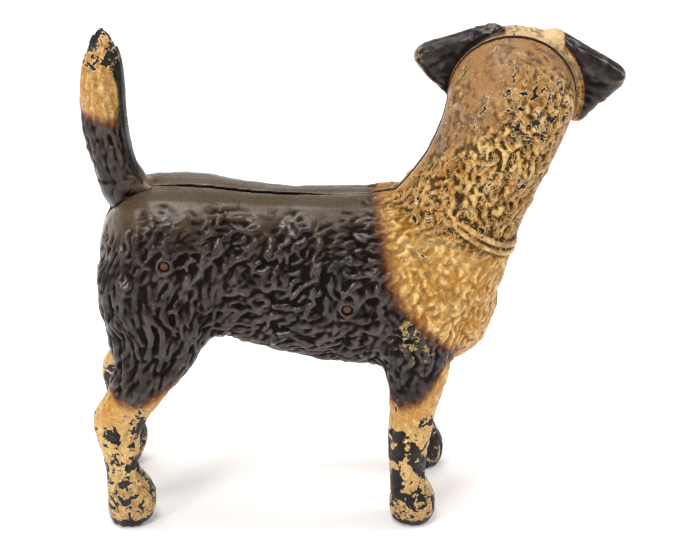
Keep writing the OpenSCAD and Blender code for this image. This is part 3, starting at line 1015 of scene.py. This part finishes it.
def painted_casting():
    """Old enamel over cast iron: a black saddle sprayed into ochre and cream, chipped and grimy, with
    painted shade in the hollows and the slot and painted highlights on the crests.
    """
    material, t, shader = new_material("painted_casting")
    m = Places(t)
    cream, dirt = grimy(t, m, cream_enamel(t, m))
    paint = sprayed(t, m, cream, black_enamel(t, m))
    paint, bare = chipped_to_iron(t, m, paint)
    paint, undercoat = worn_to_undercoat(t, m, paint)
    paint = soles_and_rust(t, m, paint)

    # The hollow inside is bare iron.
    outside = t.span(t.attribute("skin"), 0.3, 0.7)
    inside = t.mix(m.mottle, *INNER_IRON)
    t.put(shader.inputs["Base Color"], t.mix(outside, inside, paint))

    # Matt in the hollows and on bare iron, polished along the crests.
    rough = t.plus(t.span(m.mottle, 0.3, 0.7, 0.25, 0.36), t.span(m.deep, 0.0, 0.8, 0.0, 0.35))
    rough = t.plus(rough, t.times(t.math("MAXIMUM", bare, dirt), 0.16))
    rough = t.plus(rough, t.times(m.on_cream, 0.04))
    t.put(shader.inputs["Roughness"], t.math("MAXIMUM", rough, t.span(outside, 0, 1, 0.75, 0.0)))
    polish = t.times(t.span(m.deep, 0.25, -0.35), t.span(m.patch, 0.36, 0.62, 0.35, 1.0))
    polish = t.times(polish, t.span(m.in_black, 0.0, 1.0, 0.45, 1.0))
    t.put(shader.inputs["Coat Weight"], t.times(polish, outside))
    shader.inputs["Coat Roughness"].default_value = 0.27
    shader.inputs["Specular IOR Level"].default_value = 0.1

    height = casting_height(t, m, t.math("MAXIMUM", bare, undercoat))
    bump = t.add("ShaderNodeBump", {"Height": height, "Distance": MM, "Strength": 0.8})
    t.put(shader.inputs["Normal"], bump.outputs["Normal"])
    return material


def screw_steel():
    """Dull steel, browned and rusted."""
    material, t, shader = new_material("screw_steel")
    where = t.add("ShaderNodeTexCoord").outputs["Object"]
    rust = place_group(t, GROUPS["rust"], {"Vector": where, "Amount": 0.55})
    steel = t.mix(t.noise(1.5, 4.0, 0.6, 0.2, where), colour(54, 46, 40), colour(92, 80, 70))
    t.put(shader.inputs["Base Color"], t.mix(rust["Mask"], steel, rust["Colour"]))
    t.put(shader.inputs["Metallic"], t.span(rust["Mask"], 0, 1, 0.85, 0.05))
    t.put(shader.inputs["Roughness"], t.span(rust["Mask"], 0, 1, 0.42, 0.8))
    grain = place_group(t, GROUPS["grain"], {"Vector": where, "Coarse": 0.05, "Fine": 0.03, "Pits": 0.06})
    bump = t.add("ShaderNodeBump", {"Height": grain["Height"], "Distance": MM, "Strength": 0.6})
    t.put(shader.inputs["Normal"], bump.outputs["Normal"])
    return material


def floor_paper():
    material, t, shader = new_material("floor_paper")
    where = t.add("ShaderNodeTexCoord").outputs["Object"]
    tone = t.mix(t.noise(400.0, 2.0, 0.5, 0.0, where), colour(252, 249, 247), colour(255, 253, 252))
    t.put(shader.inputs["Base Color"], tone)
    shader.inputs["Roughness"].default_value = 0.6
    shader.inputs["Specular IOR Level"].default_value = 0.3
    shader.inputs["Emission Color"].default_value = (1.0, 0.985, 0.975, 1.0)
    shader.inputs["Emission Strength"].default_value = 0.22
    return material


# ---------------------------------------------------------------- stage

def studio(material):
    """A pale floor, a surround that is darker overhead, a broad sun and three small area lights."""
    bm = bmesh.new()
    bmesh.ops.create_grid(bm, x_segments=1, y_segments=1, size=14.0)
    floor = mesh_object("floor", bm)
    floor.data.materials.append(material)

    world = bpy.data.worlds.new("studio")
    bpy.context.scene.world = world
    world.use_nodes = True
    background = world.node_tree.nodes["Background"]
    t = Nodes(world.node_tree)
    way = t.add("ShaderNodeTexCoord").outputs["Generated"]
    up = t.add("ShaderNodeSeparateXYZ", {"Vector": way}).outputs["Z"]
    sky = t.mix(t.span(up, 0.1, 0.55), (0.8, 0.79, 0.785, 1.0), (0.3, 0.297, 0.295, 1.0))
    t.put(background.inputs["Color"], sky)

    middle = (cad_box[0] + cad_box[1]) / 2
    sun = bpy.data.lights.new("overhead", "SUN")
    sun.energy = 1.75
    sun.angle = math.radians(50)
    link(bpy.data.objects.new("overhead", sun)).rotation_euler = (math.radians(-14), math.radians(-8), 0)
    soft_light("front", middle + Vector((-0.15, -0.5, 1.0)), middle, 0.25, 4.0)
    soft_light("left", middle + Vector((-0.8, -0.85, 0.5)), middle, 0.3, 4.5)
    soft_light("right", middle + Vector((1.0, 0.1, 0.7)), middle, 0.4, 4.0)
    bpy.context.scene.view_settings.view_transform = "Standard"


def soft_light(name, place, aim, size, power):
    data = bpy.data.lights.new(name, "AREA")
    data.shape = "SQUARE"
    data.size = size
    data.energy = power
    light = link(bpy.data.objects.new(name, data))
    light.location = place
    light.rotation_euler = (Vector(aim) - Vector(place)).to_track_quat("-Z", "Y").to_euler()


CAMERA_TILT = 25.0
CAMERA_AIM_Z = 0.1087


def camera():
    """Square to the right flank, 1 m away, looking down on the dog."""
    data = bpy.data.cameras.new("camera")
    data.sensor_width = 36.0
    data.lens = 123.1
    view = link(bpy.data.objects.new("camera", data))
    aim = Vector((MID_X, SEAM_Y, CAMERA_AIM_Z))
    tilt = math.radians(CAMERA_TILT)
    view.location = aim + Vector((0, -math.cos(tilt), math.sin(tilt)))
    view.rotation_euler = (math.radians(90.0) - tilt, 0, 0)
    bpy.context.scene.camera = view


# ---------------------------------------------------------------- put it together

GROUPS = {"chips": chips_group(), "rust": rust_group(), "grain": grain_group()}
PAINT = painted_casting()
STEEL = screw_steel()

for node in ("right_half", "left_half"):
    casting = sculpt(node, node + "_casting")
    casting.data.materials.clear()
    casting.data.materials.append(PAINT)
    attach(casting, node)
    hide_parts(node)

for node in ("screw_front", "screw_rear"):
    machine_screw = screw(node, node + "_machine_screw")
    machine_screw.data.materials.clear()
    machine_screw.data.materials.append(STEEL)
    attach(machine_screw, node)
    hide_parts(node)

studio(floor_paper())
camera()
